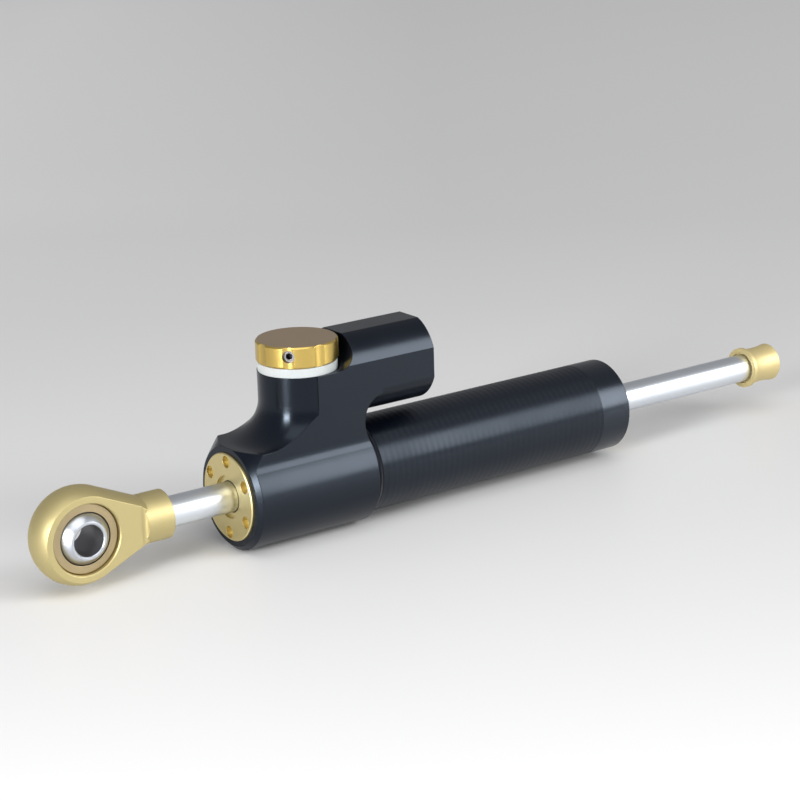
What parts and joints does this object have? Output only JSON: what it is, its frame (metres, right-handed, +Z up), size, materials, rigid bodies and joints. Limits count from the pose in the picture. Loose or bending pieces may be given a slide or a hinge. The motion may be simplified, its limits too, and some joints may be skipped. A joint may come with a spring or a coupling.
{
  "type": "motorcycle steering damper",
  "caption": "Linear through-rod steering damper with a clamp-on ribbed tube, a spherical rod end, a click adjuster knob and a reservoir barrel.",
  "frame": {"origin": "on the rod's axis, halfway along the clamping surface of the ribbed tube", "axes": "+X along the rod towards the stop cap, +Z up through the adjuster knob, the rod end's bore along Y"},
  "size_m": [0.3073, 0.0358, 0.0654],
  "materials": {
    "black_anodised_body": "black anodised, finely milled, satin",
    "black_anodised_tube": "black anodised, fine turned ribs, semi-gloss",
    "gold_anodised": "pale gold anodised, satin",
    "gold_knob": "deep gold anodised, turned",
    "chromed_rod": "hard chromed and polished",
    "bearing_bronze": "turned bronze",
    "bearing_chrome": "polished",
    "plain_steel": "bright steel",
    "dark_steel": "oiled spring steel",
    "plain_alloy": "plain turned alloy",
    "bush_bronze": "bearing bronze",
    "white_plastic": "white plastic, satin",
    "slide_plastic": "filled low-friction plastic",
    "liner_fabric": "woven low-friction liner",
    "black_rubber": "matt",
    "seal_rubber": "matt"
  },
  "bodies": {
    "housing": {"valve_housing": "black_anodised_body", "outer_tube": "black_anodised_tube", "inner_cylinder": "plain_alloy", "tube_oring": "black_rubber", "front_gland": "gold_anodised", "front_wiper": "black_rubber", "front_rod_seal": "seal_rubber", "front_rod_bush": "bush_bronze", "front_gland_oring": "black_rubber", "rear_gland": "gold_anodised", "rear_wiper": "black_rubber", "rear_rod_seal": "seal_rubber", "rear_rod_bush": "bush_bronze", "rear_gland_oring": "black_rubber", "reservoir_spring": "plain_steel", "reservoir_plug": "black_anodised_body", "plug_oring": "black_rubber", "plug_circlip": "dark_steel", "fill_screw": "plain_steel", "valve_bush": "bush_bronze", "spindle_circlip": "dark_steel", "knob_ring": "white_plastic"},
    "band": {"piston_band": "slide_plastic"},
    "rod": {"piston_rod": "chromed_rod", "piston": "plain_alloy", "piston_circlips": "dark_steel", "rod_end": "gold_anodised", "bearing_race": "bearing_bronze", "rod_stop_cap": "gold_anodised"},
    "bearing_tilt": {"bearing_liner": "liner_fabric"},
    "bearing_ball": {"bearing_ball": "bearing_chrome"},
    "floating_piston": {"reservoir_piston": "plain_alloy", "reservoir_piston_oring": "black_rubber"},
    "adjuster": {"adjuster_knob": "gold_knob", "knob_grub_screw": "plain_steel", "valve_spindle": "plain_steel", "spindle_oring": "black_rubber", "detent_spring": "plain_steel"},
    "click_ball": {"detent_ball": "plain_steel"}
  },
  "joints": [
    {"name": "rod_slide", "type": "slide", "parent": "housing", "child": "band", "axis": [1, 0, 0], "range_m": [-0.067, 0.023]},
    {"name": "rod_spin", "type": "hinge", "parent": "band", "child": "rod", "pos_m": [0, 0, 0], "axis": [1, 0, 0], "continuous": true},
    {"name": "ball_tilt", "type": "hinge", "parent": "rod", "child": "bearing_tilt", "pos_m": [-0.1561, 0, 0], "axis": [0, 0, 1], "range_deg": [-13, 13]},
    {"name": "ball_spin", "type": "hinge", "parent": "bearing_tilt", "child": "bearing_ball", "pos_m": [-0.1561, 0, 0], "axis": [0, 1, 0], "continuous": true},
    {"name": "knob_turn", "type": "hinge", "parent": "housing", "child": "adjuster", "pos_m": [-0.074, 0, 0.03], "axis": [0, 0, 1], "range_deg": [-165, 165]},
    {"name": "click_drop", "type": "slide", "parent": "adjuster", "child": "click_ball", "axis": [0, 0, 1], "range_m": [-0.0003, 0], "stiffness_N_per_m": 500, "deforming": ["detent_spring"]},
    {"name": "reservoir_slide", "type": "slide", "parent": "housing", "child": "floating_piston", "axis": [1, 0, 0], "range_m": [-0.0038, 0.0038], "stiffness_N_per_m": 1200, "deforming": ["reservoir_spring"]}
  ]
}
